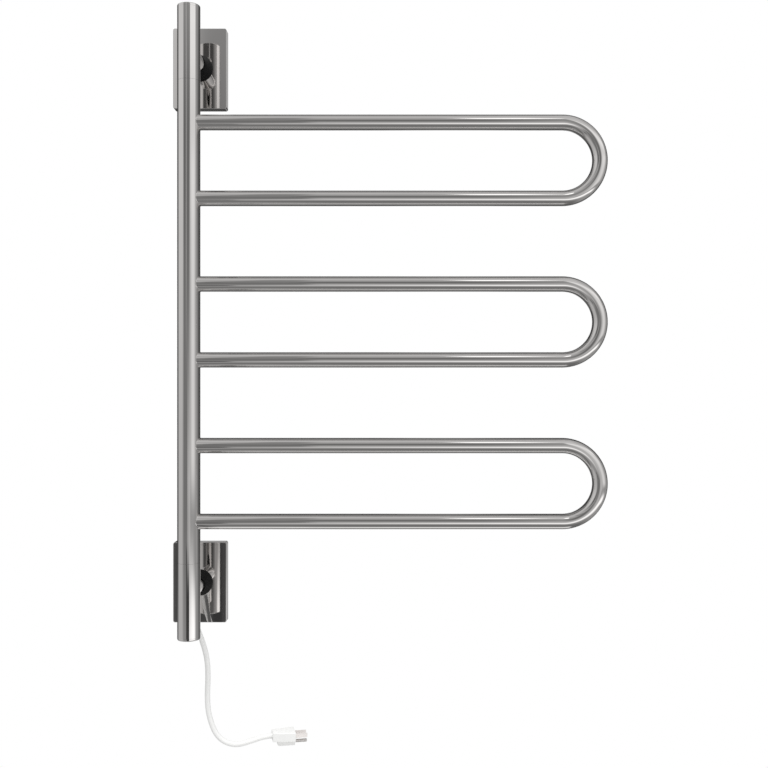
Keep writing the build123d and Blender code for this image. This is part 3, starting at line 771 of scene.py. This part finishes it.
axes = tent_tree.nodes.new("ShaderNodeSeparateXYZ")
tent_tree.links.new(from_centre.outputs["Vector"], axes.inputs["Vector"])
to_front = calculate(tent_tree, "MULTIPLY", axes.outputs["Y"], -1.0)
azimuth = calculate(tent_tree, "ARCTAN2", axes.outputs["X"], to_front)
elevation = calculate(tent_tree, "ARCSINE", axes.outputs["Z"])
ramp = tent_tree.nodes.new("ShaderNodeValToRGB")
ramp.color_ramp.interpolation = "EASE"
stops = ramp.color_ramp.elements
stops.remove(stops[-1])
for count, (angle, level) in enumerate(PANELS):
    share = angle / 180 + HORIZON
    stop = stops.new(share) if count else stops[0]
    stop.position = share
    stop.color = (level, level, level, 1)
ramp_share = calculate(tent_tree, "MULTIPLY_ADD", elevation, 1 / pi, HORIZON)
tent_tree.links.new(ramp_share, ramp.inputs["Fac"])
level_so_far = ramp.outputs["Color"]
for box_name, *angles, level in SOFT_BOXES:
    turn, rise, half_width, half_height, side_softness, end_softness = map(radians, angles)
    turned_by = calculate(tent_tree, "SUBTRACT", azimuth, turn)
    aside = calculate(tent_tree, "WRAP", turned_by, pi, -pi)
    above = calculate(tent_tree, "SUBTRACT", elevation, rise)
    in_width = soft_edge(tent_tree, aside, half_width, side_softness)
    in_height = soft_edge(tent_tree, above, half_height, end_softness)
    box = tent_tree.nodes.new("ShaderNodeMix")
    box.label = box_name
    box.data_type = "FLOAT"
    box.inputs["B"].default_value = level
    tent_tree.links.new(calculate(tent_tree, "MULTIPLY", in_width, in_height), box.inputs["Factor"])
    tent_tree.links.new(level_so_far, box.inputs["A"])
    level_so_far = box.outputs["Result"]
tent_tree.links.new(level_so_far, tent_shine.inputs["Color"])
tent_outline = []
for step in range(TENT_STEPS + 1):
    rise = pi * step / TENT_STEPS - pi / 2
    tent_outline.append((TENT_RADIUS * cos(rise), TENT_RADIUS * sin(rise)))
tent = make_mesh("studio_tent", [loft(turned(tent_outline, Vector(), UP))], tent_material)
tent.location = TENT_CENTRE
set_in_studio(tent)

# Cards in the tent, seen only by polished surfaces; all but the floor strip paint dark or grey reflections
# and shade into the rack. Name, centre, directions across and along, half size and softness in each, level
# The cord's lean, along which the card of painted cord shade lies
CORD_LEAN = 0.152  # to the right for each length down
CORD_DROP = (RIGHT * CORD_LEAN - UP).normalized()
CORD_SIDE = CORD_DROP.cross(BACK)
CARDS = (
    ("floor_strip", (0.05, 0.07, -0.88), (RIGHT, BACK), (0.9, 0.33), (0.05, 0.05), 0.80),
    # A dark card placed where only the lower cover mirrors it: a painted dark reflection
    ("lower_cover_painted_dark_reflection", (-0.25, -1.3, -0.28), (RIGHT, UP), (0.11, 0.16), (0.02, 0.02), 0.058),
    # A dark strip just in front of the post, seen only by polished surfaces: a painted dark reflection
    ("post_painted_dark_reflection", (0.0045, -0.1425, -0.066), (RIGHT, UP), (0.0095, 0.15), (0.002, 0.0475), 0.04),
    # A dark card just behind the cord, seen only by polished surfaces: painted shade on the cord's back where
    # the covers mirror it
    ("cord_back_painted_shade", (0.0078, -0.047, -0.0565), (CORD_SIDE, CORD_DROP), (0.0038, 0.033), (0.0012, 0.002), 0.10),
    # A grey strip behind the top of the lower cover, seen only by polished surfaces: a painted reflection on
    # the cover's top edge
    ("cover_top_painted_reflection", (0.0, 0.02, 0.0665), (RIGHT, UP), (0.04, 0.006), (0.001, 0.001), 0.35),
)
for card_name, card_centre, directions, half_sizes, softness, level in CARDS:
    card_material, card_tree, card_shine, card_surface = studio_material(f"{card_name}_paint")
    card_shine.inputs["Color"].default_value = (level, level, level, 1)
    card_point = object_point(card_tree)
    edges = []
    for direction, half, soft in zip(directions, half_sizes, softness):
        from_middle = card_tree.nodes.new("ShaderNodeVectorMath")
        from_middle.operation = "DOT_PRODUCT"
        from_middle.inputs[1].default_value = direction
        card_tree.links.new(card_point, from_middle.inputs[0])
        edges.append(soft_edge(card_tree, from_middle.outputs["Value"], half - soft, soft))
    inside = calculate(card_tree, "MULTIPLY", *edges)
    clear = card_tree.nodes.new("ShaderNodeBsdfTransparent")
    paint = mix_shaders(card_tree, inside, clear.outputs["BSDF"], card_shine.outputs["Emission"])
    card_tree.links.new(paint, card_surface)
    across = directions[0] * half_sizes[0]
    along = directions[1] * half_sizes[1]
    corners = [-across - along, across - along, across + along, along - across]
    card = make_mesh(card_name, [(corners, [(0, 1, 2, 3)])], card_material)
    card.location = card_centre
    set_in_studio(card)

# Lamps: a large soft key from above in front, and a weaker fill from the right
# Name, place, size, power in watts
LAMPS = (
    ("key", Vector((-0.1, -0.9, 2.3)), 1.4, 52.0),
    ("fill", Vector((1.7, -1.5, 0.0)), 1.6, 9.0),
)
AIM = Vector((0.25, -0.05, 0.2))
for lamp_name, lamp_place, size, power in LAMPS:
    lamp_data = bpy.data.lights.new(lamp_name, "AREA")
    lamp_data.shape = "DISK"
    lamp_data.size = size
    lamp_data.energy = power
    lamp = bpy.data.objects.new(lamp_name, lamp_data)
    lamp.location = lamp_place
    lamp.rotation_euler = (AIM - lamp_place).to_track_quat("-Z", "Y").to_euler()
    lamp.visible_glossy = False
    lamp.visible_camera = False
    scene.collection.objects.link(lamp)

# Pale floor below the frame, fading into the white of the backdrop
FLOOR_CENTRE = Vector((0.28, 0, -0.9))
FLOOR_RADIUS = 1.4
FLOOR_FADE = 0.6
FLOOR_RINGS = (1.0, 0.5, 0.0)  # shares of the radius
floor_material = finish(
    "pale_floor",
    colours=((0.90, 0.90, 0.90), (0.92, 0.92, 0.92)),
    roughness=(0.8, 0.9),
    patch=4.0,
    grain=60.0,
    relief=0.0,
)
floor_tree = floor_material.node_tree
floor_reach = floor_tree.nodes.new("ShaderNodeVectorMath")
floor_reach.operation = "LENGTH"
floor_tree.links.new(object_point(floor_tree), floor_reach.inputs["Vector"])
fade = soft_edge(floor_tree, floor_reach.outputs["Value"], FLOOR_RADIUS - FLOOR_FADE, FLOOR_FADE)
floor_tree.links.new(fade, floor_tree.nodes["Principled BSDF"].inputs["Alpha"])
floor_rings = [circle(Vector(), RIGHT, BACK, FLOOR_RADIUS * share) for share in FLOOR_RINGS]
floor = make_mesh("floor", [loft(floor_rings)], floor_material)
floor.location = FLOOR_CENTRE
floor.visible_glossy = False
